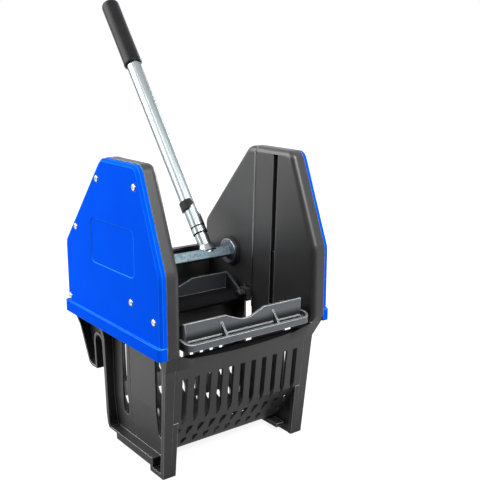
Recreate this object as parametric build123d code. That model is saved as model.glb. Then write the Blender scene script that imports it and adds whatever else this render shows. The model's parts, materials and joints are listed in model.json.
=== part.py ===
from build123d import *
import math
import os

# Lever mop press that hangs on a bucket, all sizes in millimetres.
# X runs left to right, Y runs front to back, Z is up.
# The origin is the middle of the plane on which the side casings rest on the bucket rim.

# Side casings and the wall between casing and basket
WALL_IN = 115.0
WALL_T = 3.5
RIM_OUT = 137.0
PAD_IN = 113.6
PAD_LEAN = 0.0395
EDGE_R = 9.0
OUTLINE = [(-144, 114), (-89.5, 252.3), (13, 253.2), (137.5, 116)]
OUTLINE_R = [26, 16, 22, 22]
FOOT_CORNER_R = 8.0
SKIN = 4.0
WALL_BEND_Z = -100.0
WALL_BEND = 0.08

# Groove down the inside of the wall, deep above the rack and shallow beside it
GROOVE_W = 10.4
GROOVE_Z = (6.0, 90.0, 247.0)
GROOVE_DEPTH = (2.2, 6.5)

# Covers
COVER_OUT = 146.6
COVER_INSET = 0.9
COVER_T = 3.0
LEDGE_OUT = 150.0
LEDGE_H = 17.5
SCREW_YZ = [(22.3, 222.1), (-83.9, 222.9), (96.6, 141.5), (126.9, 26.1), (-67.1, 62.8), (-126.8, 50.3)]
LABEL_YZ = (-14.5, 130.5)
LABEL_SIZE = (126, 66)

# Lower frame, drafted inwards and backwards towards the feet
FOOT_Z = -191.0
FLANGE_Z = (-182.0, -169.5)
FLANGE_Y = (49.5, 56.5)
POST_T = 7.0
POST_IN = 106.7
SEAM_DEPTH = 1.2
FRAME_TOP_X = 132.0
DRAFT = 0.0236
FRONT_SLOPE = 0.1135

# Guide slots of the press pins
SLOT_W = 17.0
SLOT_TOP = 24.0
SLOT_BOTTOM = -140.0
PIN_Z = 13.0
PIN_R = 4.5
FRONT_PIN_Y = -85.5
REAR_PIN_Y = 13.5
PIN_START = 93.0
PIN_END = 128.6

# Rim hook behind each side
HOOK_SLOT_Y = 68.2
HOOK_SLOT_R = 11.7
HOOK_SLOT_Z = -37.5
HOOK_RIM = 4.0

# Basket, with rows of drain slots given by their top, shoulder and tip heights
BASKET_X = WALL_IN
BASKET_T = 4.0
BASKET_BOTTOM = -178.0
RIM_STEP = 1.5
BAR_PITCH = 19.7
BAR_SLOT_W = 8.6
BAR_COUNT = 11
BAR_ROWS = [(-41, -99, -115), (-123, -131, -143), (-149, -154, -163)]
REAR_ROW = (-41, -96, -105)

# Screws that hold the back panel between the casings
PANEL_SCREW_Y = 124.0
PANEL_SCREW_Z = (12.0, 56.0)

# Lever shaft and its drive
SHAFT_Y = 59.3
SHAFT_Z = 74.1
SHAFT_A = 17.0
SHAFT_TURN = -23.0
JOURNAL_R = 15.0
DISC_R = 21.0
DISC_X = (105.5, 109.3)
BUSH_FLANGE_R = 24.0
GEAR_X = (119.6, 126.1)
MODULE = 3.0
GEAR_TEETH = 40
PITCH_R = MODULE * GEAR_TEETH / 2
BACKLASH = 0.3

# Handle, measured along its axis from the shaft centre
HANDLE_X = 67.8
HANDLE_LEAN = 37.4
STUB_R = 11.0
TUBE_R = 12.5
COLLAR = (38.0, 48.4)
TUBE = (50.4, 507.5)
GRIP = (382.2, 519.5)
GRIP_R = 16.0
CLIP = (82.6, 98.6)

# Press plates, two alike: outward distance and height from the pin axis
PLATE_X = 104.0
TRAY_X = 109.5
TRAY_U = 20.0
BARREL_R = 6.0
PLATE_WALL_U = 44.0
PLATE_LIP_U = 62.0
PLATE_WALL_TOP = 26.4
PLATE_DIP = 16.2
PLATE_FLOOR = (-5.0, -1.0)
PLATE_LIP = (-8.0, 1.5)
PLATE_RIB_X = (-49.0, 42.0)


def front_y(z):
    return -125.1 + FRONT_SLOPE * (-41.0 - z)


def prism(points, x0, x1):
    face = Plane.YZ * make_face(Polyline(*points, close=True))
    return Pos(x0, 0, 0) * extrude(face, x1 - x0)


def block(x, y, z):
    size = (x[1] - x[0], y[1] - y[0], z[1] - z[0])
    return Pos((x[0] + x[1]) / 2, (y[0] + y[1]) / 2, (z[0] + z[1]) / 2) * Box(*size)


def rod_x(y, z, r, x0, x1):
    return Pos((x0 + x1) / 2, y, z) * Rot(0, 90, 0) * Cylinder(r, x1 - x0)


def outline_face(inset, low):
    corners = [(OUTLINE[0][0], low)] + OUTLINE + [(OUTLINE[-1][0], low)]
    face = make_face(Polyline(*corners, close=True))
    for point, radius in zip(corners, [FOOT_CORNER_R] + OUTLINE_R + [FOOT_CORNER_R]):
        if point[1] >= 0:
            face = fillet(face.vertices().sort_by_distance((point[0], point[1], 0))[0], radius)
    if inset:
        face = offset(face, amount=-inset)
    return Plane.YZ * face


def outline_prism(inset, x0, x1, low=0):
    return Pos(x0, 0, 0) * extrude(outline_face(inset, low), x1 - x0)


def both_sides(name, shape):
    left = mirror(shape, about=Plane.YZ)
    export_step(Compound(children=list(shape.solids())), "parts/right_" + name + ".step")
    export_step(Compound(children=list(left.solids())), "parts/left_" + name + ".step")


def save(name, shape):
    export_step(Compound(children=list(shape.solids())), "parts/" + name + ".step")


# Line on the wall behind which it stands in a little, and the middle of the groove
def step_y(z):
    return 4.6 - PAD_LEAN * z


def groove_y(z):
    return -45.0 - PAD_LEAN * z


def behind_step(x0, x1, shift=0.0):
    return prism([(step_y(300) + shift, 300), (200, 300), (200, -250), (step_y(-250) + shift, -250)], x0, x1)


# Space outside the wall, measured from its inner face: stepped in at the back and bent inwards low down
def outboard(skin):
    x, low = WALL_IN + skin, WALL_BEND_Z - 100
    space = block((x, RIM_OUT + 1), (-200, 200), (-250, 300)) + behind_step(PAD_IN + skin, RIM_OUT + 1, skin)
    bend = Plane.XZ * make_face(Polyline((x, WALL_BEND_Z), (x, low), (x - 100 * WALL_BEND, low), close=True))
    return space + Pos(0, 200, 0) * extrude(bend, 400)


def casing_shell():
    front = outline_prism(0, WALL_IN, RIM_OUT, low=-40)
    pad = outline_prism(0, PAD_IN, RIM_OUT, low=-40)
    halves = []
    for half in (front, pad):
        edges = half.faces().sort_by(Axis.X)[0].edges()
        halves.append(fillet([edge for edge in edges if edge.center().Z > -30], EDGE_R))
    shell = halves[0] + (halves[1] & behind_step(PAD_IN, RIM_OUT))
    shell -= prism([(-150, 9), (-144, 9), (-141, 0), (140, 0), (140, -50), (-150, -50)], PAD_IN - 1, RIM_OUT + 1)
    hollow = outline_prism(SKIN, PAD_IN, RIM_OUT + 1, low=-40)
    edges = hollow.faces().sort_by(Axis.X)[0].edges()
    hollow = chamfer([edge for edge in edges if edge.center().Z > -30], 8.0)
    hollow -= block((PAD_IN - 1, RIM_OUT + 2), (-200, 200), (-50, SKIN))
    return shell - (hollow & outboard(WALL_T))


def groove_band(x0, x1, z0, z1, half):
    return prism([(groove_y(z0) - half, z0), (groove_y(z0) + half, z0),
                  (groove_y(z1) + half, z1), (groove_y(z1) - half, z1)], x0, x1)


# Rim hook: a thin web with a rim round its edge and round the slot that opens downwards
def hook():
    outer = [(FLANGE_Y[0], 1), (FLANGE_Y[0], -60), (60, -84), (98, -84.5), (106.5, -80.5), (134.5, -20), (137.5, -12),
             (137.5, 1)]
    pocket = [(FLANGE_Y[0], -3), (FLANGE_Y[0], -90), (60, -79), (97, -81), (103.5, -77.5), (131, -19), (134, -11),
              (134, -3)]
    y0, y1 = HOOK_SLOT_Y - HOOK_SLOT_R, HOOK_SLOT_Y + HOOK_SLOT_R
    rim = block((PAD_IN, RIM_OUT), (y0 - HOOK_RIM, y1 + HOOK_RIM), (-90, HOOK_SLOT_Z))
    rim += rod_x(HOOK_SLOT_Y, HOOK_SLOT_Z, HOOK_SLOT_R + HOOK_RIM, PAD_IN, RIM_OUT)
    slot = block((PAD_IN - 1, RIM_OUT + 1), (y0, y1), (-91, HOOK_SLOT_Z))
    slot += rod_x(HOOK_SLOT_Y, HOOK_SLOT_Z, HOOK_SLOT_R, PAD_IN - 1, RIM_OUT + 1)
    plate = prism(outer, PAD_IN, RIM_OUT)
    return plate - prism(pocket, PAD_IN + WALL_T, RIM_OUT + 1) + (rim & plate) - slot


# Lower frame: wall with a thin seam down it, post, foot and flanges round an outward recess
def lower_frame():
    front_foot = (front_y(FOOT_Z), FOOT_Z)
    outer = [(-141, 1), (-126.5, -26), front_foot, (-73, FOOT_Z), (-73, FLANGE_Z[0]), (27, FLANGE_Z[0]), (27, -172.5),
             (50, -172.5), (54, -167), (FLANGE_Y[1], -150), (FLANGE_Y[1], 1)]
    recess = [(front_y(-6) + 13, 2), (front_y(-26) + POST_T, -26), (front_y(-184) + POST_T, -184), (-80, -184),
              (-80, FLANGE_Z[1]), (46.5, FLANGE_Z[1]), (FLANGE_Y[0], -164), (FLANGE_Y[0], 2)]
    frame = prism(outer, 100, RIM_OUT) & outboard(0)
    frame += prism([(50, 1), (61.2, 1), (61.2, -20), (58.2, -106), (50, -118)], 100, RIM_OUT) & outboard(0)
    frame -= prism(recess, 100, RIM_OUT + 1) & outboard(WALL_T)
    frame -= prism([(FLANGE_Y[1], 0), (70, 0), (70, -130), (FLANGE_Y[1], -130)], 100, RIM_OUT + 1) & outboard(WALL_T)

    seam = prism([(-3.9, -2), (-2.1, -2), (-6.6, -168), (-8.4, -168)], 100, RIM_OUT)
    frame -= seam & outboard(WALL_T - SEAM_DEPTH)

    post = prism([(front_y(-104), -104), front_foot, (front_foot[0] + POST_T, FOOT_Z),
                  (front_y(-104) + POST_T, -104)], POST_IN, WALL_IN)
    tie = block((94, WALL_IN), (-88, 27), (FLANGE_Z[0] - 2, BASKET_BOTTOM - 0.1))
    return frame + (post - basket_body(0.15, POST_IN - 1, WALL_IN + 1)) + tie


# Side frame: casing box, inner wall, lower frame with post, flanges and foot, and rim hook in one moulding
def side_frame():
    frame = casing_shell() + lower_frame() + hook()
    wedge = [(RIM_OUT, 0), (RIM_OUT + 20, 0), (RIM_OUT + 20, -210), (FRAME_TOP_X - 210 * DRAFT, -210),
             (FRAME_TOP_X - 26 * DRAFT, -26)]
    draft_face = Plane.XZ * make_face(Polyline(*wedge, close=True))
    frame -= Pos(0, 300, 0) * extrude(draft_face, 600)

    low, mid, top = GROOVE_Z
    frame += groove_band(WALL_IN + 1, WALL_IN + GROOVE_DEPTH[1] + 2.5, mid, top, GROOVE_W / 2 + 2.5)
    frame -= groove_band(WALL_IN - 1, WALL_IN + GROOVE_DEPTH[1], mid + 2.5, top - 2.5, GROOVE_W / 2)
    frame -= groove_band(WALL_IN - 1, WALL_IN + GROOVE_DEPTH[0], low, mid + 3, GROOVE_W / 2)

    for y in (FRONT_PIN_Y, REAR_PIN_Y):
        half = SLOT_W / 2
        frame -= block((POST_IN, WALL_IN + WALL_T + 1), (y - half, y + half), (SLOT_BOTTOM + half, SLOT_TOP))
        frame -= rod_x(y, SLOT_BOTTOM + half, half, POST_IN, WALL_IN + WALL_T + 1)
    frame -= block((WALL_IN + WALL_T, 131), (FRONT_PIN_Y - 13, REAR_PIN_Y + 14), (-1, SKIN + 9))
    frame -= rod_x(SHAFT_Y, SHAFT_Z, 20.0, PAD_IN - 1, WALL_IN + WALL_T)

    for y, z in SCREW_YZ:
        frame += rod_x(y, z, 5.5, PAD_IN + WALL_T - 0.5, COVER_OUT - COVER_T - 0.2)
        frame -= rod_x(y, z, 2.2, 122, COVER_OUT)
    for z in PANEL_SCREW_Z:
        frame -= rod_x(PANEL_SCREW_Y, z, 2.7, PAD_IN - 1, WALL_IN + WALL_T)
    return frame


# Cover: dished plate with a bevelled edge, a foot ledge, a bare label field and screw seats
def cover():
    body = outline_prism(COVER_INSET, RIM_OUT, COVER_OUT)
    outer_edges = body.faces().sort_by(Axis.X)[-1].edges()
    body = chamfer(outer_edges, 4.0)
    ledge = block((RIM_OUT, LEDGE_OUT), (-143.7, 142.5), (0, LEDGE_H))
    ledge = fillet(ledge.edges().filter_by(Axis.Z).sort_by(Axis.X)[-2:], 6.0)
    body += ledge
    body -= outline_prism(SKIN + 0.3, RIM_OUT - 1, COVER_OUT - COVER_T)
    body -= block((RIM_OUT - 1, LEDGE_OUT - COVER_T), (-139, 135), (SKIN, LEDGE_H - COVER_T))
    field = Pos(COVER_OUT - 0.7, *LABEL_YZ) * extrude(Plane.YZ * RectangleRounded(*LABEL_SIZE, 10), 2)
    body -= field
    for y, z in SCREW_YZ:
        body -= rod_x(y, z, 5.6, COVER_OUT - 0.9, LEDGE_OUT + 1)
        body -= rod_x(y, z, 2.3, COVER_OUT - 6, COVER_OUT + 1)
    return body


def cover_screws():
    screws = []
    for y, z in SCREW_YZ:
        head = rod_x(y, z, 4.6, COVER_OUT - 0.9, COVER_OUT + 1.9)
        head = fillet(head.edges().sort_by(Axis.X)[-1], 1.6)
        screws.append(head + rod_x(y, z, 2.1, 123, COVER_OUT - 0.9))
    return Compound(children=screws)


# Basket: trough with slanting lower walls and rows of drain slots front, bottom and rear
def basket_outline():
    corners = [(front_y(-6), -6), (front_y(-106), -106), (-68, BASKET_BOTTOM), (7.5, BASKET_BOTTOM), (57.2, -106),
               (60.5, -16)]
    face = make_face(Polyline(*corners, close=True))
    low = [face.vertices().sort_by_distance((y, z, 0))[0] for y, z in corners[2:4]]
    return fillet(low, 33.6)


def basket_body(grow, x0, x1):
    face = offset(basket_outline(), amount=grow, kind=Kind.INTERSECTION)
    return Pos(x0, 0, 0) * extrude(Plane.YZ * face, x1 - x0)


def drain_slot(x, row, y0, y1):
    top, shoulder, tip = row
    half = BAR_SLOT_W / 2
    shape = [(x - half, top), (x + half, top), (x + half, shoulder), (x, tip), (x - half, shoulder)]
    return Pos(0, y1, 0) * extrude(Plane.XZ * make_face(Polyline(*shape, close=True)), y1 - y0)


# Space over the basket's front edge, which hangs a little between its ends
def front_dip(end_z, mid_z):
    half = BASKET_X + 1
    face = make_face([ThreePointArc((-half, end_z), (0, mid_z), (half, end_z)),
                      Polyline((half, end_z), (half, 10), (-half, 10), (-half, end_z))])
    return Pos(0, -60, 0) * extrude(Plane.XZ * face, 90)


def basket():
    mouth = prism([(front_y(-14) + BASKET_T, -14), (front_y(-8) + BASKET_T + 0.9, 20), (56.8, 20), (56.3, -21), (0, -30)],
                  -BASKET_X, BASKET_X)
    shell = basket_body(0, -BASKET_X, BASKET_X) - basket_body(-BASKET_T, -BASKET_X, BASKET_X) - mouth

    step_out = prism([(-160, 20), (front_y(20) + RIM_STEP, 20), (front_y(-30) + RIM_STEP, -30), (-160, -30)],
                     -BASKET_X - 2, BASKET_X + 2)
    shell -= front_dip(-7.5, -8.5)
    shell -= front_dip(-9.0, -16.5) & step_out
    for side in (-1, 1):
        shell -= block(sorted((side * 103.5, side * (BASKET_X + 1))), (-150, -60), (-11, 10))

    wide = [(-128, -9), (-141, 0), (-126.6, -26)]
    slim = [(front_y(-15) + 0.5, -14.5), (front_y(-15) - 0.1, -14.5), (front_y(-26) - 0.1, -26)]
    for side in (-1, 1):
        ends = [Pos(side * x, 0, 0) * (Plane.YZ * make_face(Polyline(*points, close=True)))
                for x, points in ((WALL_IN, wide), (86, slim))]
        shell += loft(ends, ruled=True)
    walls = outboard(0)
    shell = shell - walls - mirror(walls, about=Plane.YZ)

    cuts = []
    for k in range(BAR_COUNT):
        x = (k - (BAR_COUNT - 1) / 2) * BAR_PITCH
        cuts += [drain_slot(x, row, -135, -60) for row in BAR_ROWS]
        cuts += [drain_slot(x, row, 5, 75) for row in BAR_ROWS[1:]]
        cuts.append(block((x - BAR_SLOT_W / 2, x + BAR_SLOT_W / 2), (-44, -16), (-182, -170)))
        if k < BAR_COUNT - 1:
            cuts.append(drain_slot(x + BAR_PITCH / 2, REAR_ROW, 5, 75))
    return shell - cuts


# Back panel: splash shelf behind the basket and the upright that ties the two casings
def back_panel():
    profile = [(60.8, -20), (131, -20), (131, 75), (121, 75), (121, 71), (127, 71), (127, -16), (60.8, -16)]
    panel = prism(profile, -PAD_IN + 0.2, PAD_IN - 0.2)
    for x in (-72, -24, 24, 72):
        panel += prism([(130, -20), (137, -14), (137, 60), (130, 75)], x - 2, x + 2)
    for side in (-1, 1):
        for z in PANEL_SCREW_Z:
            ends = sorted((side * 92, side * (PAD_IN - 0.2)))
            panel += rod_x(PANEL_SCREW_Y, z, 6.0, *ends)
            ends = sorted((side * 93, side * PAD_IN))
            panel -= rod_x(PANEL_SCREW_Y, z, 2.2, *ends)
    return panel


def panel_screws():
    screws = []
    for side in (-1, 1):
        for z in PANEL_SCREW_Z:
            head = sorted((side * (PAD_IN + WALL_T), side * (PAD_IN + WALL_T + 3)))
            shank = sorted((side * 94, side * (PAD_IN + WALL_T)))
            screws.append(rod_x(PANEL_SCREW_Y, z, 4.4, *head) + rod_x(PANEL_SCREW_Y, z, 2.1, *shank))
    return Compound(children=screws)


# Lever shaft, end discs with journals, bushes and the toothed segments
def on_shaft(shape):
    return Pos(0, SHAFT_Y, SHAFT_Z) * shape


def lever_shaft():
    outer = Box(2 * DISC_X[0], SHAFT_A, SHAFT_A)
    outer = fillet(outer.edges().filter_by(Axis.X), 2.0)
    inner = Box(2 * DISC_X[0] + 2, SHAFT_A - 3, SHAFT_A - 3)
    return on_shaft(Rot(SHAFT_TURN, 0, 0) * (outer - inner))


def shaft_end():
    disc = rod_x(0, 0, DISC_R, *DISC_X)
    disc = fillet(disc.edges().filter_by(GeomType.CIRCLE).sort_by(Axis.X)[0], 1.4)
    end = disc + rod_x(0, 0, JOURNAL_R, DISC_X[1], GEAR_X[0] - 0.3)
    drive = block((GEAR_X[0] - 0.3, GEAR_X[1] - 0.2), (-9, 9), (-9, 9))
    end += drive
    end -= rod_x(0, 0, 4.1, 112, GEAR_X[1] + 1)
    return on_shaft(end)


def shaft_bush():
    bush = rod_x(0, 0, BUSH_FLANGE_R, DISC_X[1] + 0.2, PAD_IN) + rod_x(0, 0, 19.9, PAD_IN, PAD_IN + WALL_T + 1)
    return on_shaft(bush - rod_x(0, 0, JOURNAL_R + 0.06, 100, 120))


def involute(radius, base):
    t = math.sqrt(max((radius / base) ** 2 - 1, 0))
    return t - math.atan(t)


def drive_gear():
    base = PITCH_R * math.cos(math.radians(20))
    root, tip = PITCH_R - 1.25 * MODULE, PITCH_R + MODULE
    half_at_pitch = math.pi / (2 * GEAR_TEETH) - BACKLASH / 2 / PITCH_R
    radii = [base, base + 0.35 * (tip - base), base + 0.7 * (tip - base), tip]
    points = []
    first, count = -1, 13
    for k in range(first, first + count):
        centre = math.radians(180 - (k + 0.5) * 360 / GEAR_TEETH)
        flank = [half_at_pitch + involute(PITCH_R, base) - involute(r, base) for r in radii]
        left = [(root, flank[0] + 0.004)] + list(zip(radii, flank))
        for r, a in left:
            points.append((r * math.cos(centre + a), r * math.sin(centre + a)))
        for r, a in reversed(left):
            points.append((r * math.cos(centre - a), r * math.sin(centre - a)))
    points += [(17, 30), (24, 6), (20, -14), (6, -23), (-12, -20)]
    gear = prism(points, *GEAR_X)
    gear -= block((GEAR_X[0] - 1, GEAR_X[1] + 1), (-9.1, 9.1), (-9.1, 9.1))
    window = [(-44, 8), (-30, 4), (-16, 14), (-5, 26), (-7, 45), (-28, 36)]
    return on_shaft(gear - prism(window, GEAR_X[0] - 1, GEAR_X[1] + 1))


def gear_bolts():
    bolts = []
    for side in (-1, 1):
        washer = sorted((side * GEAR_X[1], side * (GEAR_X[1] + 2)))
        head = sorted((side * (GEAR_X[1] + 2), side * (GEAR_X[1] + 7.3)))
        shank = sorted((side * 113, side * (GEAR_X[1] + 2)))
        hexagon = Pos(head[0], 0, 0) * extrude(Plane.YZ * RegularPolygon(7.5, 6), head[1] - head[0])
        bolts.append(rod_x(0, 0, 14.0, *washer) + hexagon + rod_x(0, 0, 4.0, *shank))
    return on_shaft(Compound(children=bolts))


# Press carriage: a toothed plate each side, four pins, slot sliders and end caps
def rack():
    pitch_y = SHAFT_Y - PITCH_R
    step = math.pi * MODULE
    slope = math.tan(math.radians(20))
    half = step / 4 - BACKLASH / 2
    low, high = PIN_Z - 10, PIN_Z + 11
    points = [(FRONT_PIN_Y - 12, low), (REAR_PIN_Y + 12, low), (REAR_PIN_Y + 12, high), (pitch_y - 3.75, 34)]
    for k in range(-1, 11):
        z = SHAFT_Z + k * step
        wide = half + 1.25 * MODULE * slope
        slim = half - MODULE * slope
        points += [(pitch_y - 1.25 * MODULE, z - wide), (pitch_y + MODULE, z - slim),
                   (pitch_y + MODULE, z + slim), (pitch_y - 1.25 * MODULE, z + wide)]
    points += [(pitch_y - 3.75, 176), (-24, 176), (-24, 98), (FRONT_PIN_Y - 3, high + 1), (FRONT_PIN_Y - 12, high)]
    plate = prism(points, *GEAR_X)
    plate -= prism([(-27, 82), (-27, 30), (-70, 30)], GEAR_X[0] - 1, GEAR_X[1] + 1)
    for y in (FRONT_PIN_Y, REAR_PIN_Y):
        plate -= rod_x(y, PIN_Z, PIN_R, GEAR_X[0] - 1, GEAR_X[1] + 1)
    return plate


def press_pins(y):
    pins = []
    for side in (-1, 1):
        pin = rod_x(y, PIN_Z, PIN_R, *sorted((side * PIN_START, side * PIN_END)))
        pins.append(chamfer(pin.edges().filter_by(GeomType.CIRCLE), 0.8))
    return Compound(children=pins)


def slot_sliders():
    sliders = []
    for side in (-1, 1):
        for y in (FRONT_PIN_Y, REAR_PIN_Y):
            ends = sorted((side * 105.3, side * (WALL_IN + WALL_T + 0.6)))
            slider = block(ends, (y - 8.4, y + 8.4), (PIN_Z - 13, PIN_Z + 8))
            sliders.append(slider - rod_x(y, PIN_Z, PIN_R + 0.05, -130, 130))
    return Compound(children=sliders)


def pin_caps():
    caps = []
    for side in (-1, 1):
        for y in (FRONT_PIN_Y, REAR_PIN_Y):
            ends = sorted((side * (GEAR_X[1] + 0.1), side * (PIN_END + 1.5)))
            cap = rod_x(y, PIN_Z, 8.5, *ends)
            hole = sorted((side * 120, side * (PIN_END + 0.05)))
            caps.append(cap - rod_x(y, PIN_Z, PIN_R, *hole))
    return Compound(children=caps)


# Press plate, drawn with its outward side along +Y and its pin axis at the origin
def rounded_plan(half_x, reach, radius):
    plan = Pos(0, reach / 2 - 10, 0) * Box(2 * half_x, reach + 20, 80)
    return fillet(plan.edges().filter_by(Axis.Z).sort_by(Axis.Y)[-2:], radius)


def press_plate():
    wall, lip = PLATE_WALL_U, PLATE_LIP_U
    floor_w, top_w = PLATE_FLOOR, PLATE_WALL_TOP
    tray = rounded_plan(TRAY_X, lip, 12.0)
    floor = block((-TRAY_X, TRAY_X), (TRAY_U, lip), floor_w) & tray
    floor += prism([(0, floor_w[0] - 3.5), (0, floor_w[0]), (TRAY_U + 1, floor_w[1]), (TRAY_U + 1, floor_w[0])],
                   -PLATE_X, PLATE_X)
    rim = tray - rounded_plan(TRAY_X - 3, lip - 3, 9.0)
    ends = prism([(TRAY_U, PLATE_LIP[0]), (lip, PLATE_LIP[0]), (lip, PLATE_LIP[1]), (lip - 14, PLATE_LIP[1] + 4),
                  (TRAY_U, PLATE_LIP[1] + 4)], -TRAY_X, TRAY_X)
    plate = floor + (rim & ends)

    upright = prism([(wall + 0.5, floor_w[0]), (wall + 4, floor_w[0]), (wall + 1.5, top_w), (wall - 2, top_w)],
                    -PLATE_X, PLATE_X)
    dip = make_face(Polyline((-40, 40), (-34.5, top_w), (-8, PLATE_DIP), (8, PLATE_DIP), (34.5, top_w), (40, 40),
                             close=True))
    for x, w, r in ((-34.5, top_w, 10), (34.5, top_w, 10), (-8, PLATE_DIP, 16), (8, PLATE_DIP, 16)):
        dip = fillet(dip.vertices().sort_by_distance((x, w, 0))[0], r)
    upright -= Pos(0, 200, 0) * extrude(Plane.XZ * dip, 400)
    for side in (-1, 1):
        ends = sorted((side * (PLATE_X - 3.5), side * PLATE_X))
        upright += prism([(0, floor_w[0]), (wall + 4, floor_w[0]), (wall + 1.5, top_w), (wall - 2, top_w), (7, 5)], *ends)
        plate += rod_x(0, 0, BARREL_R, *sorted((side * (PLATE_X - 10), side * PLATE_X)))
    plate += upright & rounded_plan(PLATE_X, wall + 4, 7.0)

    bead = block((-PLATE_X + 6, PLATE_X - 6), (wall + 2, wall + 5.6), (floor_w[1] - 1, floor_w[1] + 3.6))
    plate += chamfer(bead.edges().filter_by(Axis.X).sort_by(Axis.Z)[-1], 1.0)
    for x in PLATE_RIB_X:
        plate += prism([(wall, floor_w[1] - 1), (wall + 1, 20), (lip - 1, PLATE_LIP[1]), (lip - 1, floor_w[1] - 1)],
                       x - 1.5, x + 1.5)
    return plate - rod_x(0, 0, PIN_R + 0.06, -PLATE_X - 1, PLATE_X + 1)


# Handle, drawn along +Z from the shaft centre and leant back
def on_handle(shape):
    return Pos(HANDLE_X, SHAFT_Y, SHAFT_Z) * Rot(-HANDLE_LEAN, 0, 0) * shape


def tube_z(z0, z1, r, bore):
    shape = Pos(0, 0, (z0 + z1) / 2) * Cylinder(r, z1 - z0)
    if bore:
        shape -= Pos(0, 0, (z0 + z1) / 2) * Cylinder(bore, z1 - z0 + 2)
    return shape


def peg_hole(r):
    return Pos(-10, 0, (CLIP[0] + CLIP[1]) / 2) * Rot(0, 90, 0) * Cylinder(r, 20)


def handle_stub():
    stub = tube_z(0, 132, STUB_R, 0) + Pos(0, 0, 9) * Cone(15.5, STUB_R, 12)
    stub -= Pos(0, 0, 86) * Cylinder(STUB_R - 1.5, 100)
    stub -= peg_hole(3.1)
    stub = on_handle(stub)
    square = Rot(SHAFT_TURN, 0, 0) * fillet(Box(60, SHAFT_A, SHAFT_A).edges().filter_by(Axis.X), 2.0)
    below = Rot(SHAFT_TURN, 0, 0) * (Pos(0, 0, -20) * Box(60, 80, 40))
    return stub - Pos(HANDLE_X, SHAFT_Y, SHAFT_Z) * square - Pos(HANDLE_X, SHAFT_Y, SHAFT_Z) * below


def handle_tube():
    return on_handle(tube_z(*TUBE, TUBE_R, STUB_R + 0.06) - peg_hole(3.1))


def handle_grip():
    grip = tube_z(*GRIP, GRIP_R, 0)
    grip = fillet(grip.edges().filter_by(GeomType.CIRCLE).sort_by(Axis.Z)[-1], 6.0)
    grip = fillet(grip.edges().filter_by(GeomType.CIRCLE).sort_by(Axis.Z)[0], 2.0)
    depth = TUBE[1] - GRIP[0] + 1
    grip -= Pos(0, 0, GRIP[0] + depth / 2 - 1) * Cylinder(TUBE_R + 0.05, depth + 2)
    return on_handle(grip)


def lock_clip():
    mid = (CLIP[0] + CLIP[1]) / 2
    ring = tube_z(*CLIP, TUBE_R + 3.0, TUBE_R + 0.1)
    side = [(-0.3, CLIP[0] + 6), (-4.4, CLIP[1]), (-20, CLIP[1]), (-20, CLIP[0]), (-11, CLIP[0])]
    keep = Pos(0, 30, 0) * extrude(Plane.XZ * make_face(Polyline(*side, close=True)), 60)
    clip = ring & (keep & block((-30, -0.3), (-40, 40), (0, 200)))
    clip += Pos(-11, 0, mid) * Rot(0, 90, 0) * Cylinder(3.0, 6)
    return on_handle(clip)


os.makedirs("parts", exist_ok=True)
both_sides("side_frame", side_frame())
both_sides("cover", cover())
both_sides("cover_screws", cover_screws())
both_sides("shaft_end", shaft_end())
both_sides("shaft_bush", shaft_bush())
both_sides("drive_gear", drive_gear())
both_sides("rack", rack())
save("basket", basket())
save("back_panel", back_panel())
save("panel_screws", panel_screws())
save("lever_shaft", lever_shaft())
save("gear_bolts", gear_bolts())
save("front_press_pins", press_pins(FRONT_PIN_Y))
save("rear_press_pins", press_pins(REAR_PIN_Y))
save("slot_sliders", slot_sliders())
save("pin_caps", pin_caps())
plate = press_plate()
save("front_press_plate", Pos(0, FRONT_PIN_Y, PIN_Z) * Rot(0, 0, 180) * plate)
save("rear_press_plate", Pos(0, REAR_PIN_Y, PIN_Z) * plate)
save("handle_stub", handle_stub())
save("stop_collar", on_handle(tube_z(*COLLAR, TUBE_R, STUB_R + 0.06)))
save("handle_tube", handle_tube())
save("handle_grip", handle_grip())
save("lock_clip", lock_clip())
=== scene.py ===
import json
from math import atan2, cos, pi, radians, sin

import bpy
from mathutils import Matrix, Vector


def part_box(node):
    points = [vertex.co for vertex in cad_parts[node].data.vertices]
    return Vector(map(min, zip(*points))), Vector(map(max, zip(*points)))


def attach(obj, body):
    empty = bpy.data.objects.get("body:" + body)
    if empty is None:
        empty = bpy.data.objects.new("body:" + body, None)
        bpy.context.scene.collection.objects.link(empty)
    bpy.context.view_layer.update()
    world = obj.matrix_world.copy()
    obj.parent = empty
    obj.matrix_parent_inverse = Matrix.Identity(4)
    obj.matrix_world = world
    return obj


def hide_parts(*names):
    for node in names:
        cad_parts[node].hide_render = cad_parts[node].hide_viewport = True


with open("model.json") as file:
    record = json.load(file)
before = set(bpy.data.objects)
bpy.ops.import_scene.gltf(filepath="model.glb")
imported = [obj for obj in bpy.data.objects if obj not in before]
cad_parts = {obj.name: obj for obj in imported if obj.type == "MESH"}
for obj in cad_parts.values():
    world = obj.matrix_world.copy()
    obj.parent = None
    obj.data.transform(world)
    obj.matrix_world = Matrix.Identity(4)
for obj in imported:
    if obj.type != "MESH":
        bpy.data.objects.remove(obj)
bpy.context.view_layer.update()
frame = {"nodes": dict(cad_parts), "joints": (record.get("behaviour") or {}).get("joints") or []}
nodes = frame["nodes"]

# Studio: a white surround and a pale floor under the feet. Wide lamps stand behind on the left, in front and
# on the right, and a weak one hangs overhead. Black cards lie and stand round the camera, out of the picture,
# so that what faces it squarely has nothing bright to mirror.
FLOOR_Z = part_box("left_side_frame")[0].z
FLOOR_SIZE = 16.0
FLOOR_GREY = (0.14, 0.14, 0.14, 1.0)
# For the camera the floor's glow is dimmed near the object so that its real shadow shows there; in
# reflections it is dimmed much more under the object, a painted shadow.
FLOOR_SHADE = ((0.25, 0.88), (0.75, 1.0))
FLOOR_MIRRORED_SHADOW = ((0.15, 0.25), (0.42, 1.0))
FILL_LIGHT = 0.05
TO_CAMERA = Vector((-0.599, -0.801))
CARD_BLACK = (0.01, 0.01, 0.01, 1.0)
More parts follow.
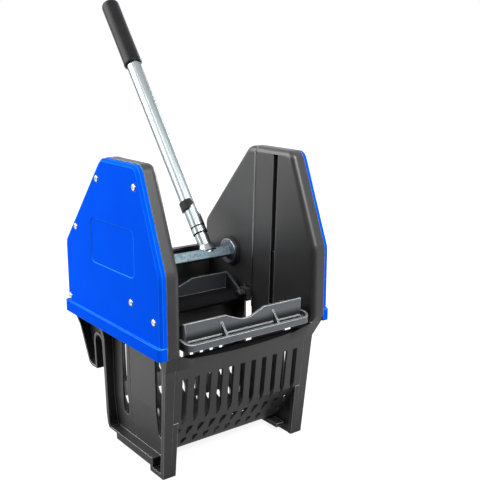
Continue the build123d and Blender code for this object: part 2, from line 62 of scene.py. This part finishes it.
# Each card's name, turn aside from the camera, distance, height, width, depth and tilt
CARDS = (
    ("card_lying", 0.0, 0.98, 0.003, 1.7, 1.25, 0.0),
    ("card_standing", 0.0, 1.60, 0.60, 1.7, 1.2, pi / 2),
    ("card_left", radians(-38.0), 1.70, 0.70, 1.0, 1.4, pi / 2),
)
# Each lamp's name, place, width and power
LAMPS = (
    ("lamp_left_back", (-1.6, 1.4, 1.3), 2.0, 92.0),
    ("lamp_front", (0.2, -2.1, 2.0), 1.2, 110.0),
    ("lamp_right", (2.2, 0.6, 0.5), 1.2, 60.0),
    ("lamp_overhead", (-1.0, -0.6, 1.75), 0.7, 6.0),
)
LAMP_AIM = Vector((0.0, 0.0, 0.05))
CAMERA_AT = Vector((-0.6402, -0.9737, 0.3827))
CAMERA_LOOK = Vector((0.5839, 0.7808, -0.2221))
LENS_MM = 58.94
SENSOR_MM = 36.0


class Shade:
    """One output of a material's nodes. Sums on it add Math nodes, node() adds any other node."""

    def __init__(self, tree, socket):
        self.tree = tree
        self.socket = socket

    def node(self, kind, settings=None, sockets=None, out=0):
        made = self.tree.nodes.new(kind)
        for key, value in (settings or {}).items():
            if key == "stops":
                for element, (position, level) in zip(made.color_ramp.elements, value):
                    element.position = position
                    element.color = (level, level, level, 1.0)
            else:
                setattr(made, key, value)
        for key, value in (sockets or {}).items():
            if isinstance(value, Shade):
                self.tree.links.new(value.socket, made.inputs[key])
            else:
                made.inputs[key].default_value = value
        return Shade(self.tree, made.outputs[out])

    def feed(self, shader, socket):
        self.tree.links.new(self.socket, shader.inputs[socket])

    def math(self, operation, *values):
        return self.node("ShaderNodeMath", {"operation": operation}, dict(enumerate(values)))

    def __add__(self, other):
        return self.math("ADD", self, other)

    __radd__ = __add__

    def __sub__(self, other):
        return self.math("SUBTRACT", self, other)

    def __rsub__(self, other):
        return self.math("SUBTRACT", other, self)

    def __mul__(self, other):
        return self.math("MULTIPLY", self, other)

    __rmul__ = __mul__

    def __gt__(self, other):
        return self.math("GREATER_THAN", self, other)

    def __lt__(self, other):
        return self.math("LESS_THAN", self, other)

    def __abs__(self):
        return self.math("ABSOLUTE", self)

    def most(self, other):
        return self.math("MAXIMUM", self, other)

    def near(self, middle, half):
        return self.math("COMPARE", self, middle, half)

    def limited(self):
        return self.node("ShaderNodeClamp", None, {"Value": self, "Min": 0.0, "Max": 1.0})

    def fade(self, none, full):
        """0 up to one value, 1 from the other on."""
        return ((self - none) * (1.0 / (full - none))).limited()

    def between(self, low_colour, high_colour):
        return self.node("ShaderNodeMix", {"data_type": "RGBA"}, {0: self, 6: low_colour, 7: high_colour}, 2)

    def noise(self, size, detail):
        """Soft noise whose patches are about this many metres across."""
        return self.node("ShaderNodeTexNoise", None, {"Vector": self, "Scale": 1.0 / size, "Detail": detail})

    def ramp(self, *stops):
        return self.node("ShaderNodeValToRGB", {"stops": stops}, {"Fac": self})


def rays(tree, *kinds):
    """1 for rays of these kinds."""
    path = tree.nodes.new("ShaderNodeLightPath")
    met = Shade(tree, path.outputs[kinds[0]])
    for kind in kinds[1:]:
        met = met.most(Shade(tree, path.outputs[kind]))
    return met


def new_finish(name, **constants):
    """A material with its shader, and the object's own coordinates to draw patterns on."""
    material = bpy.data.materials.new(name)
    material.use_nodes = True
    tree = material.node_tree
    shader = tree.nodes["Principled BSDF"]
    for socket, value in constants.items():
        shader.inputs[socket.replace("_", " ")].default_value = value
    place = Shade(tree, tree.nodes.new("ShaderNodeTexCoord").outputs["Object"])
    return material, shader, place


world = bpy.data.worlds.new("studio_surround")
bpy.context.scene.world = world
world.use_nodes = True
surround = world.node_tree.nodes["Background"]
surround.inputs["Color"].default_value = (1.0, 1.0, 1.0, 1.0)
seen = rays(world.node_tree, "Is Camera Ray", "Is Glossy Ray", "Is Transmission Ray")
(FILL_LIGHT + (1.0 - FILL_LIGHT) * seen).feed(surround, "Strength")

bpy.ops.object.select_all(action="DESELECT")
bpy.ops.mesh.primitive_plane_add(size=FLOOR_SIZE, location=(0.0, 0.0, FLOOR_Z))
floor = bpy.context.active_object
floor.name = "studio_floor"
floor_paint, floor_shader, floor_place = new_finish("studio_floor_paint", Base_Color=FLOOR_GREY,
                                                    Roughness=0.9, Emission_Strength=1.0)
away = floor_place.node("ShaderNodeVectorMath", {"operation": "LENGTH"}, {0: floor_place}, "Value")
floor_seen = rays(floor_paint.node_tree, "Is Camera Ray")
floor_mirrored = rays(floor_paint.node_tree, "Is Glossy Ray", "Is Transmission Ray")
# Painted shadow in reflections: the mirrored floor's glow is dimmed under the object.
floor_glow = (floor_seen * away.ramp(*FLOOR_SHADE)).most(floor_mirrored * away.ramp(*FLOOR_MIRRORED_SHADOW))
floor_glow.feed(floor_shader, "Emission Color")
floor.data.materials.append(floor_paint)

for card_name, aside, distance, height, wide, deep, tilt in CARDS:
    towards = Matrix.Rotation(aside, 2) @ TO_CAMERA
    card_at = (distance * towards.x, distance * towards.y, FLOOR_Z + height)
    card_turn = (tilt, 0.0, atan2(-towards.x, towards.y))
    bpy.ops.object.select_all(action="DESELECT")
    bpy.ops.mesh.primitive_plane_add(size=1.0, location=card_at, rotation=card_turn)
    card = bpy.context.active_object
    card.name = card_name
    card.scale = (wide, deep, 1.0)
    card.visible_camera = False
    card.visible_shadow = False
    card_paint = new_finish(card_name + "_black", Base_Color=CARD_BLACK, Specular_IOR_Level=0.0)[0]
    card.data.materials.append(card_paint)

for lamp_name, lamp_at, size, power in LAMPS:
    lamp_data = bpy.data.lights.new(lamp_name, "AREA")
    lamp_data.shape = "SQUARE"
    lamp_data.size = size
    lamp_data.energy = power
    lamp = bpy.data.objects.new(lamp_name, lamp_data)
    lamp.location = lamp_at
    lamp.rotation_euler = (LAMP_AIM - Vector(lamp_at)).to_track_quat("-Z", "Y").to_euler()
    bpy.context.scene.collection.objects.link(lamp)

camera_data = bpy.data.cameras.new("photo_camera")
camera_data.lens = LENS_MM
camera_data.sensor_width = SENSOR_MM
camera = bpy.data.objects.new("photo_camera", camera_data)
camera.location = CAMERA_AT
camera.rotation_euler = CAMERA_LOOK.to_track_quat("-Z", "Y").to_euler()
bpy.context.scene.collection.objects.link(camera)
bpy.context.scene.camera = camera
bpy.context.scene.view_settings.view_transform = "Standard"

# Body: two side frames, the slotted basket and the back panel, moulded in dark grey polypropylene with a
# fine spark grain, then welded and screwed together. Edges are softened by the mould and painted paler, a
# painted highlight that also stands for wear. Painted shade darkens the lower, shallow part of the groove
# down each inner wall and the strip under the basket's front edge; paler paint lifts the shade in the
# groove's deep upper part; and a painted highlight runs down the upper part of the step on each inner wall.
BODY_GREY = (0.017, 0.017, 0.018, 1.0)
BODY_GREY_DUSTY = (0.025, 0.025, 0.025, 1.0)
# The edge colour is a painted highlight that also stands for wear.
BODY_EDGE_HIGHLIGHT = (0.420, 0.420, 0.420, 1.0)
BASKET_EDGE = (0.040, 0.040, 0.040, 1.0)
EDGE_SAMPLES = 6
EDGE_REACH = 6.0
BLOTCH_SIZE = 0.070
GRAIN_DEPTH = 0.0004
WALL_LINE_LEAN = -0.0395
WALL_LINE_Z = (0.0055, 0.2445)
GROOVE_X = 0.1163
GROOVE_Y = -0.0450
GROOVE_HALF = 0.0053
GROOVE_DEEP_Z = 0.0925
STEP_X = 0.1155
STEP_Y = 0.0046
STEP_HALF = 0.0007
STEP_EDGE_HALF = 0.0016
STEP_FADE_Z = (0.068, 0.105)
BASKET_FRONT_SLOPE = -0.1135
RIM_Y = -0.12825
RIM_HALF = 0.0008
RIM_LOW = -0.0178
# Layers on top of the plastic: colour, roughness and specular level
# The first is the plain body grey, laid round the step's edge; the second a painted highlight down the step;
# the third and fifth painted shade; the fourth is painted lighter than the body to lift the shade deep in the
# groove.
STEP_EDGE = (BODY_GREY, 0.4, 0.5)
STEP_HIGHLIGHT = ((0.320, 0.320, 0.320, 1.0), 0.5, 0.5)
SHADE_BLACK = ((0.020, 0.020, 0.022, 1.0), 0.8, 0.05)
GROOVE_PAINTED_LIGHT = ((0.070, 0.070, 0.074, 1.0), 0.8, 0.05)
GROOVE_PAINTED_SHADE = ((0.008, 0.008, 0.009, 1.0), 0.9, 0.0)


def moulded(name, colour, dusty, edge, *, grain_size, grain, edge_round, rough, specular):
    """Moulded plastic: grain in the surface, faint blotches, softened edges painted paler as a painted
    highlight that also stands for wear.
    """
    material, shader, place = new_finish(name, Specular_IOR_Level=specular)
    soft = place.node("ShaderNodeBevel", {"samples": EDGE_SAMPLES}, {"Radius": edge_round})
    flat = place.node("ShaderNodeNewGeometry", None, None, "Normal")
    along = place.node("ShaderNodeVectorMath", {"operation": "DOT_PRODUCT"}, {0: soft, 1: flat}, "Value")
    # Painted highlight: the edges are painted towards the edge colour, which also stands for wear and makes
    # them a little smoother.
    edge_wear_and_highlight = ((1.0 - along) * EDGE_REACH).limited()
    blotch = place.noise(BLOTCH_SIZE, 5.0).ramp((0.35, 0.0), (0.72, 1.0))
    pits = place.noise(grain_size, 2.0)
    edge_wear_and_highlight.between(blotch.between(colour, dusty), edge).feed(shader, "Base Color")
    (rough + 0.10 * pits - 0.06 * edge_wear_and_highlight).feed(shader, "Roughness")
    bump = {"Strength": grain, "Distance": GRAIN_DEPTH, "Height": pits, "Normal": soft}
    place.node("ShaderNodeBump", None, bump).feed(shader, "Normal")
    return material


def dress(material, *names):
    """Give a material to CAD nodes."""
    for name in names:
        nodes[name].data.materials.clear()
        nodes[name].data.materials.append(material)


def coordinates(material, axes):
    """The object's own coordinates along some of its axes, for masks."""
    place = Shade(material.node_tree, material.node_tree.nodes["Texture Coordinate"].outputs["Object"])
    return [place.node("ShaderNodeSeparateXYZ", None, {0: place}, axis) for axis in axes]


def coat(material, *layers):
    """Lay other finishes over a material, each where its mask is 1."""
    tree = material.node_tree
    top = Shade(tree, tree.nodes["Principled BSDF"].outputs["BSDF"])
    for mask, (colour, rough, specular) in layers:
        look = {"Base Color": colour, "Roughness": rough, "Specular IOR Level": specular}
        layer = mask.node("ShaderNodeBsdfPrincipled", None, look)
        top = mask.node("ShaderNodeMixShader", None, {0: mask, 1: top, 2: layer})
    top.feed(tree.nodes["Material Output"], "Surface")


def mark_walls(material):
    """Down each inner wall: painted shade on the groove's floor in its shallow lower part, paler paint
    against the shade in its deep upper part, and a painted highlight along the step's edge high up.
    """
    x, y, z = coordinates(material, "XYZ")
    upright_y = y - WALL_LINE_LEAN * z
    outward = abs(x)
    on_wall = (z > WALL_LINE_Z[0]) * (z < WALL_LINE_Z[1])
    in_groove = on_wall * (outward > GROOVE_X) * upright_y.near(GROOVE_Y, GROOVE_HALF)
    # Round the step the plain body grey; on the step a painted highlight that fades out lower down.
    on_edge = on_wall * upright_y.near(STEP_Y, STEP_EDGE_HALF)
    on_step = on_wall * (outward < STEP_X) * upright_y.near(STEP_Y, STEP_HALF) * z.fade(*STEP_FADE_Z)
    # Painted shade in the groove's shallow lower part; paler paint against the shade in its deep upper part.
    deep = in_groove * (z > GROOVE_DEEP_Z)
    shallow = in_groove * (z < GROOVE_DEEP_Z)
    coat(material, (on_edge, STEP_EDGE), (on_step, STEP_HIGHLIGHT), (deep, GROOVE_PAINTED_LIGHT), (shallow, GROOVE_PAINTED_SHADE))


def mark_rim(material):
    """Painted shadow: black on the set-back strip under the basket's front edge, where the plate's lip shades
    it.
    """
    y, z = coordinates(material, "YZ")
    depth = y - BASKET_FRONT_SLOPE * z
    coat(material, (depth.near(RIM_Y, RIM_HALF) * (z > RIM_LOW), SHADE_BLACK))


body_plastic = moulded("body_plastic", BODY_GREY, BODY_GREY_DUSTY, BODY_EDGE_HIGHLIGHT,
                       grain_size=0.0007, grain=0.20, edge_round=0.0012, rough=0.34, specular=0.50)
mark_walls(body_plastic)
dress(body_plastic, "left_side_frame", "right_side_frame", "back_panel")
basket_plastic = moulded("basket_plastic", BODY_GREY, BODY_GREY_DUSTY, BASKET_EDGE,
                         grain_size=0.0007, grain=0.20, edge_round=0.0004, rough=0.34, specular=0.50)
mark_rim(basket_plastic)
dress(basket_plastic, "basket")

# Bushes: black acetal, turned smooth, with a flange. They are pushed into the casing walls from inside, and
# the shaft's ends turn in them.
BUSH_BLACK = (0.012, 0.012, 0.013, 1.0)
BUSH_DUSTY = (0.016, 0.016, 0.016, 1.0)
BUSH_EDGE = (0.040, 0.040, 0.042, 1.0)
bush_plastic = moulded("bush_plastic", BUSH_BLACK, BUSH_DUSTY, BUSH_EDGE,
                       grain_size=0.0005, grain=0.05, edge_round=0.0006, rough=0.36, specular=0.4)
dress(bush_plastic, "left_shaft_bush", "right_shaft_bush")

# Shaft: a square steel tube with a turned disc welded to each end, galvanised, so that the zinc shows
# a cloudy pattern of crystals in bluish greys.
ZINC_BRIGHT = (0.220, 0.295, 0.335, 1.0)
ZINC_DULL = (0.120, 0.165, 0.190, 1.0)
DISC_BRIGHT = (0.360, 0.400, 0.450, 1.0)
DISC_DULL = (0.210, 0.230, 0.265, 1.0)
ZINC_TINT = (0.40, 0.43, 0.45, 1.0)
SMEAR_SIZE = 0.026
CRYSTAL_DEPTH = 0.0003


def galvanised(name, bright, dull, *, spangle, rough):
    """Hot-dip zinc: crystals of different brightness and gloss."""
    material, shader, place = new_finish(name, Metallic=1.0, Specular_Tint=ZINC_TINT)
    crystals = place.noise(spangle, 6.0).ramp((0.38, 0.0), (0.62, 1.0))
    smear = place.noise(SMEAR_SIZE, 4.0)
    crystals.between(dull, bright).feed(shader, "Base Color")
    (rough + 0.16 * smear - 0.08 * crystals).feed(shader, "Roughness")
    bump = {"Strength": 0.10, "Distance": CRYSTAL_DEPTH, "Height": crystals}
    place.node("ShaderNodeBump", None, bump).feed(shader, "Normal")
    return material


shaft_zinc = galvanised("shaft_zinc", ZINC_BRIGHT, ZINC_DULL, spangle=0.005, rough=0.40)
dress(shaft_zinc, "lever_shaft")
disc_zinc = galvanised("disc_zinc", DISC_BRIGHT, DISC_DULL, spangle=0.004, rough=0.34)
dress(disc_zinc, "left_shaft_end", "right_shaft_end")

# Drive: a cast-iron toothed segment on each end of the shaft, held by a plated bolt and washer. It drives
# a toothed plate of black nylon down the casing.
IRON_PALE = (0.200, 0.196, 0.190, 1.0)
IRON_DARK = (0.090, 0.088, 0.086, 1.0)
BOLT_BRIGHT = (0.700, 0.700, 0.690, 1.0)
BOLT_DULL = (0.520, 0.520, 0.510, 1.0)
NYLON_BLACK = (0.020, 0.020, 0.021, 1.0)
NYLON_DUSTY = (0.026, 0.026, 0.026, 1.0)
NYLON_EDGE = (0.070, 0.070, 0.072, 1.0)
cast_iron = galvanised("cast_iron", IRON_PALE, IRON_DARK, spangle=0.0025, rough=0.46)
dress(cast_iron, "left_drive_gear", "right_drive_gear")
bolt_zinc = galvanised("bolt_zinc", BOLT_BRIGHT, BOLT_DULL, spangle=0.0030, rough=0.22)
dress(bolt_zinc, "gear_bolts", "panel_screws")
nylon = moulded("nylon", NYLON_BLACK, NYLON_DUSTY, NYLON_EDGE,
                grain_size=0.0009, grain=0.08, edge_round=0.0006, rough=0.40, specular=0.4)
dress(nylon, "left_rack", "right_rack", "slot_sliders", "pin_caps")

# Press: short dark steel pins on the racks carry two like mouldings, smoother than the body, with their thin
# edges painted pale as a painted highlight. The rear one is painted darker than the front one as painted
# shade, and painted shade darkens the trays, the foot of each wall and the floor inside both.
PIN_GREY = (0.070, 0.070, 0.075, 1.0)
PIN_DARK = (0.040, 0.040, 0.043, 1.0)
PRESS_GREY = (0.072, 0.080, 0.090, 1.0)
PRESS_GREY_DUSTY = (0.083, 0.091, 0.101, 1.0)
# Edges painted near white: a painted highlight.
PRESS_EDGE_HIGHLIGHT = (0.960, 1.000, 1.000, 1.0)
# The rear plate is painted much darker than the front one as painted shade; its edges get a painted highlight
# too.
REAR_GREY_SHADED = (0.018, 0.019, 0.022, 1.0)
REAR_GREY_DUSTY_SHADED = (0.024, 0.027, 0.031, 1.0)
REAR_EDGE_HIGHLIGHT = (0.200, 0.210, 0.220, 1.0)
# Painted shade for the tray and for the floor inside each plate.
TRAY_SHADE = ((0.030, 0.032, 0.035, 1.0), 0.4, 0.5)
PLATE_FLOOR_SHADE = ((0.009, 0.009, 0.010, 1.0), 0.9, 0.0)
# On a plate, outwards and up from its pin
TRAY_OUT = 0.0539
TRAY_HALF = 0.0049
TRAY_TOP = 0.0013
PLATE_WALL_OUT = 0.0476
PLATE_WALL_HALF = 0.0004
PLATE_WALL_LEAN = -0.0796
PLATE_WALL_INSIDE = 0.0441
FOOT_LOW = 0.0026
FOOT_FADE = (0.0150, 0.0067)
PLATE_FLOOR_UP = -0.0006


def joint_place(name):
    return Vector(next(joint["pos_m"] for joint in frame["joints"] if joint["name"] == name))


def mark_plate(material, joint_name, outward):
    """Painted shade: in the tray, outside on the wall, darker towards its foot, and on the floor inside the
    plate.
    """
    y, z = coordinates(material, "YZ")
    pin = joint_place(joint_name)
    out = outward * (y - pin.y)
    up = z - pin.z
    in_tray = out.near(TRAY_OUT, TRAY_HALF) * (up < TRAY_TOP)
    on_wall = (out - PLATE_WALL_LEAN * up).near(PLATE_WALL_OUT, PLATE_WALL_HALF)
    at_foot = on_wall * (up > FOOT_LOW) * up.fade(*FOOT_FADE)
    on_floor = (out < PLATE_WALL_INSIDE) * (up < PLATE_FLOOR_UP)
    coat(material, (in_tray, TRAY_SHADE), (at_foot, SHADE_BLACK), (on_floor, PLATE_FLOOR_SHADE))


pin_steel = galvanised("pin_steel", PIN_GREY, PIN_DARK, spangle=0.0030, rough=0.40)
dress(pin_steel, "front_press_pins", "rear_press_pins")
press_plastic = moulded("press_plastic", PRESS_GREY, PRESS_GREY_DUSTY, PRESS_EDGE_HIGHLIGHT,
                        grain_size=0.0006, grain=0.08, edge_round=0.0014, rough=0.30, specular=0.50)
mark_plate(press_plastic, "front_plate_tilt", -1.0)
dress(press_plastic, "front_press_plate")
rear_plastic_shaded = moulded("rear_plastic_shaded", REAR_GREY_SHADED, REAR_GREY_DUSTY_SHADED, REAR_EDGE_HIGHLIGHT,
                       grain_size=0.0006, grain=0.08, edge_round=0.0014, rough=0.34, specular=0.30)
mark_plate(rear_plastic_shaded, "rear_plate_tilt", 1.0)
dress(rear_plastic_shaded, "rear_press_plate")

# Covers: one blue moulding on the outside of each casing, satin smooth, with a ledge along its foot
# that rests on the bucket and a shallow bare field in the middle.
COVER_BLUE = (0.000, 0.091, 0.880, 1.0)
COVER_BLUE_DEEP = (0.000, 0.083, 0.850, 1.0)
# Edges painted a lighter blue: a painted highlight.
COVER_EDGE_HIGHLIGHT = (0.050, 0.360, 1.000, 1.0)
cover_plastic = moulded("cover_plastic", COVER_BLUE, COVER_BLUE_DEEP, COVER_EDGE_HIGHLIGHT,
                        grain_size=0.0016, grain=0.04, edge_round=0.0018, rough=0.45, specular=0.006)
dress(cover_plastic, "left_cover", "right_cover")

# Cover screws: six pan heads on each cover with a cross recess, bright stainless steel, driven through the
# cover into bosses of the casing. One is modelled and the others are copies of it.
SCREW_YZ = (
    (0.0223, 0.2221), (-0.0839, 0.2229), (0.0966, 0.1415),
    (0.1269, 0.0261), (-0.0671, 0.0628), (-0.1268, 0.0503),
)
SCREW_TWIST = 37.0
HEAD_R = 0.0046
HEAD_H = 0.0028
HEAD_ROUND = 0.0015
HEAD_SIDES = 36
SHANK_R = 0.0021
SHANK_L = 0.018275
POINT_L = 0.003225
POINT_TAPER = 0.35
CROSS_W = 0.0011
CROSS_ARM = 0.0015
CROSS_DEEP = 0.0016
CROSS_TAPER = 0.62
SMOOTH_BELOW = radians(35)
STAINLESS_BRIGHT = (0.800, 0.790, 0.770, 1.0)
STAINLESS_DULL = (0.640, 0.630, 0.610, 1.0)


def edit(obj, kind, chosen):
    """Open a mesh for editing with only the faces or edges selected that the test picks by their middle."""
    bpy.ops.object.select_all(action="DESELECT")
    obj.select_set(True)
    bpy.context.view_layer.objects.active = obj
    bpy.ops.object.mode_set(mode="EDIT")
    bpy.ops.mesh.select_mode(type=kind)
    bpy.ops.mesh.select_all(action="DESELECT")
    bpy.ops.object.mode_set(mode="OBJECT")
    mesh = obj.data
    if kind == "FACE":
        for face in mesh.polygons:
            face.select = chosen(face.center, face.normal)
    else:
        for edge in mesh.edges:
            first, last = (mesh.vertices[i].co for i in edge.vertices)
            edge.select = chosen((first + last) / 2, last - first)
    bpy.ops.object.mode_set(mode="EDIT")


def settle(obj, turn=None):
    """Close editing, smooth the round parts and put the piece's place into its mesh."""
    if obj.mode == "EDIT":
        bpy.ops.mesh.select_all(action="SELECT")
        bpy.ops.mesh.normals_make_consistent(inside=False)
        bpy.ops.object.mode_set(mode="OBJECT")
    bpy.ops.object.select_all(action="DESELECT")
    obj.select_set(True)
    bpy.context.view_layer.objects.active = obj
    bpy.ops.object.shade_smooth_by_angle(angle=SMOOTH_BELOW)
    if turn:
        obj.matrix_world = turn
    bpy.ops.object.transform_apply(location=True, rotation=True, scale=True)


def screw_cross():
    """The driver's cross, as a solid to be cut out of a screw head: a small block with four arms, tapered."""
    bpy.ops.object.select_all(action="DESELECT")
    bpy.ops.mesh.primitive_cube_add(size=CROSS_W, location=(0.0, 0.0, HEAD_H))
    cross = bpy.context.active_object
    cross.scale.z = 2 * CROSS_DEEP / CROSS_W
    bpy.ops.object.transform_apply(location=True, rotation=True, scale=True)
    edit(cross, "FACE", lambda middle, normal: abs(normal.z) < 0.5)
    bpy.ops.mesh.extrude_faces_move(TRANSFORM_OT_shrink_fatten={"value": CROSS_ARM})
    bpy.ops.object.mode_set(mode="OBJECT")
    edit(cross, "FACE", lambda middle, normal: normal.z < -0.5)
    bpy.ops.transform.resize(value=(CROSS_TAPER, CROSS_TAPER, 1.0), center_override=(0.0, 0.0, HEAD_H))
    bpy.ops.mesh.select_all(action="SELECT")
    bpy.ops.mesh.normals_make_consistent(inside=False)
    bpy.ops.object.mode_set(mode="OBJECT")
    return cross


def pan_screw():
    """A screw along Z with its head's underside at zero: a rounded rim, a shank with a point and a cross."""
    bpy.ops.object.select_all(action="DESELECT")
    head = {"vertices": HEAD_SIDES, "radius": HEAD_R, "depth": HEAD_H, "location": (0.0, 0.0, HEAD_H / 2)}
    bpy.ops.mesh.primitive_cylinder_add(**head)
    screw = bpy.context.active_object
    bpy.ops.object.transform_apply(location=True, rotation=True, scale=True)
    edit(screw, "EDGE", lambda middle, run: middle.z > 0.9 * HEAD_H)
    bpy.ops.mesh.bevel(offset=HEAD_ROUND, segments=5, profile=0.55)
    bpy.ops.object.mode_set(mode="OBJECT")
    edit(screw, "FACE", lambda middle, normal: normal.z < -0.9)
    bpy.ops.mesh.inset(thickness=HEAD_R - SHANK_R)
    bpy.ops.mesh.extrude_region_move(TRANSFORM_OT_translate={"value": (0.0, 0.0, -SHANK_L)})
    bpy.ops.mesh.extrude_region_move(TRANSFORM_OT_translate={"value": (0.0, 0.0, -POINT_L)})
    bpy.ops.transform.resize(value=(POINT_TAPER, POINT_TAPER, 1.0))
    bpy.ops.object.mode_set(mode="OBJECT")
    cross = screw_cross()
    cut = screw.modifiers.new("cross_recess", "BOOLEAN")
    cut.operation = "DIFFERENCE"
    cut.solver = "EXACT"
    cut.object = cross
    bpy.context.view_layer.objects.active = screw
    bpy.ops.object.modifier_apply(modifier=cut.name)
    bpy.data.objects.remove(cross)
    settle(screw)
    return screw


stainless = galvanised("stainless", STAINLESS_BRIGHT, STAINLESS_DULL, spangle=0.0040, rough=0.20)
pattern_screw = pan_screw()
pattern_screw.data.materials.append(stainless)
for side, outward in (("left", -1), ("right", 1)):
    seat_x = outward * (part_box("right_cover_screws")[1].x - HEAD_H)
    upright = Matrix.Rotation(outward * pi / 2, 4, "Y")
    for number, (y, z) in enumerate(SCREW_YZ, 1):
        screw = bpy.data.objects.new("%s_cover_screw_%d" % (side, number), pattern_screw.data.copy())
        bpy.context.scene.collection.objects.link(screw)
        twist = Matrix.Rotation(radians(SCREW_TWIST * number), 4, "Z")
        screw.data.transform(Matrix.Translation((seat_x, y, z)) @ upright @ twist)
        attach(screw, "base")
        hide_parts(side + "_cover_screws")
bpy.data.objects.remove(pattern_screw)

# Handle: a short steel stub welded on the shaft takes a long tube, which sits on a collar. All of it is
# drawn steel under thin bright zinc, so fine lines run along it, and rings of painted shade darken the ends
# of the collar.
HANDLE_LEAN = radians(37.4)
TUBE_BRIGHT = (0.370, 0.410, 0.420, 1.0)
TUBE_DULL = (0.270, 0.310, 0.320, 1.0)
TUBE_TINT = (0.20, 0.23, 0.25, 1.0)
DRAWN_LINE = 0.0008
DRAWN_STRETCH = (1.0, 1.0, 0.02)
DRAWN_DEPTH = 0.0002
PLATING_CLOUD = 0.030
# Painted shade: dark rings at both ends of the collar.
COLLAR_SHADE = (0.012, 0.012, 0.013, 1.0)
COLLAR_SHADE_RINGS = ((0.0370, 0.0012), (0.0494, 0.0012))


def drawn(name, bright, dull, *, rough):
    """Drawn and plated tube: fine lines along it, faint clouds in the plating, two rings of painted shade."""
    material, shader, place = new_finish(name, Metallic=1.0, Specular_Tint=TUBE_TINT)
    upright = place.node("ShaderNodeMapping", None, {"Vector": place, "Rotation": (HANDLE_LEAN, 0.0, 0.0)})
    stretched = place.node("ShaderNodeMapping", None, {"Vector": upright, "Scale": DRAWN_STRETCH})
    lines = stretched.noise(DRAWN_LINE, 3.0)
    clouds = place.noise(PLATING_CLOUD, 4.0).ramp((0.34, 0.0), (0.66, 1.0))
    shaft = joint_place("lever_turn")
    shaft_height = shaft.z * cos(HANDLE_LEAN) + shaft.y * sin(HANDLE_LEAN)
    height = place.node("ShaderNodeSeparateXYZ", None, {0: upright}, "Z") - shaft_height
    # Painted shade in two rings at the collar's ends.
    low_ring, high_ring = (height.near(middle, half) for middle, half in COLLAR_SHADE_RINGS)
    shade_rings = low_ring + high_ring
    shade_rings.between((0.6 * clouds + 0.4 * lines).between(dull, bright), COLLAR_SHADE).feed(shader, "Base Color")
    (rough + 0.14 * lines - 0.06 * clouds + 0.3 * shade_rings).feed(shader, "Roughness")
    bump = {"Strength": 0.12, "Distance": DRAWN_DEPTH, "Height": lines}
    place.node("ShaderNodeBump", None, bump).feed(shader, "Normal")
    return material


tube_zinc = drawn("tube_zinc", TUBE_BRIGHT, TUBE_DULL, rough=0.24)
dress(tube_zinc, "handle_stub", "stop_collar", "handle_tube")

# Grip: a sleeve of dipped black vinyl pushed onto the tube's end, with a rolled lip where the tube enters
# and a rounded end with a small vent hole.
GRIP_START = 0.3802
GRIP_R = 0.0160
GRIP_BORE = 0.01255
GRIP_L = 0.1373
GRIP_SIDES = 56
GRIP_RINGS = (
    (0.010, GRIP_BORE), (0.0, GRIP_BORE), (-0.0004, 0.0142), (0.0008, 0.0160), (0.0030, 0.0166),
    (0.0056, 0.0163), (0.0076, GRIP_R), (0.070, 0.0158), (0.1290, GRIP_R), (0.1330, 0.0154),
    (0.1356, 0.0139), (0.1369, 0.0118), (GRIP_L, 0.0090), (0.1372, 0.0024), (0.1330, 0.0022),
)
VINYL_BLACK = (0.009, 0.009, 0.010, 1.0)
VINYL_DUSTY = (0.013, 0.013, 0.014, 1.0)
VINYL_EDGE = (0.030, 0.030, 0.031, 1.0)


def turned(name, rings, around):
    """A turned shape along Z: a ring is added and drawn on from height to height, as (height, radius)."""
    bpy.ops.object.select_all(action="DESELECT")
    height, radius = rings[0]
    bpy.ops.mesh.primitive_circle_add(vertices=around, radius=radius, location=(0.0, 0.0, height))
    piece = bpy.context.active_object
    piece.name = name
    bpy.ops.object.transform_apply(location=True, rotation=True, scale=True)
    bpy.ops.object.mode_set(mode="EDIT")
    bpy.ops.mesh.select_mode(type="EDGE")
    bpy.ops.mesh.select_all(action="SELECT")
    for next_height, next_radius in rings[1:]:
        bpy.ops.mesh.extrude_region_move(TRANSFORM_OT_translate={"value": (0.0, 0.0, next_height - height)})
        ratio = next_radius / radius
        bpy.ops.transform.resize(value=(ratio, ratio, 1.0), center_override=(0.0, 0.0, next_height))
        height, radius = next_height, next_radius
    bpy.ops.mesh.fill()
    return piece


def along_handle(distance):
    """Place of a piece drawn along Z from zero, at this distance up the handle from the shaft."""
    middle = (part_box("handle_grip")[0].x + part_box("handle_grip")[1].x) / 2
    shaft = joint_place("lever_turn")
    start = Vector((middle, shaft.y + distance * sin(HANDLE_LEAN), shaft.z + distance * cos(HANDLE_LEAN)))
    return Matrix.Translation(start) @ Matrix.Rotation(-HANDLE_LEAN, 4, "X")


grip_vinyl = moulded("grip_vinyl", VINYL_BLACK, VINYL_DUSTY, VINYL_EDGE,
                     grain_size=0.0022, grain=0.06, edge_round=0.0008, rough=0.32, specular=0.12)
grip = turned("grip_sleeve", GRIP_RINGS, GRIP_SIDES)
settle(grip, along_handle(GRIP_START))
grip.data.materials.append(grip_vinyl)
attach(grip, "lever")
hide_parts("handle_grip")

# Lock clip: a springy half ring of black nylon, moulded in one with its peg. It snaps round the foot of the
# tube, and the peg goes through tube and stub and keeps the tube on.
CLIP_BLACK = (0.010, 0.010, 0.011, 1.0)
CLIP_DUSTY = (0.015, 0.015, 0.015, 1.0)
CLIP_EDGE = (0.045, 0.045, 0.047, 1.0)
clip_nylon = moulded("clip_nylon", CLIP_BLACK, CLIP_DUSTY, CLIP_EDGE,
                     grain_size=0.0012, grain=0.05, edge_round=0.0006, rough=0.40, specular=0.15)
dress(clip_nylon, "lock_clip")
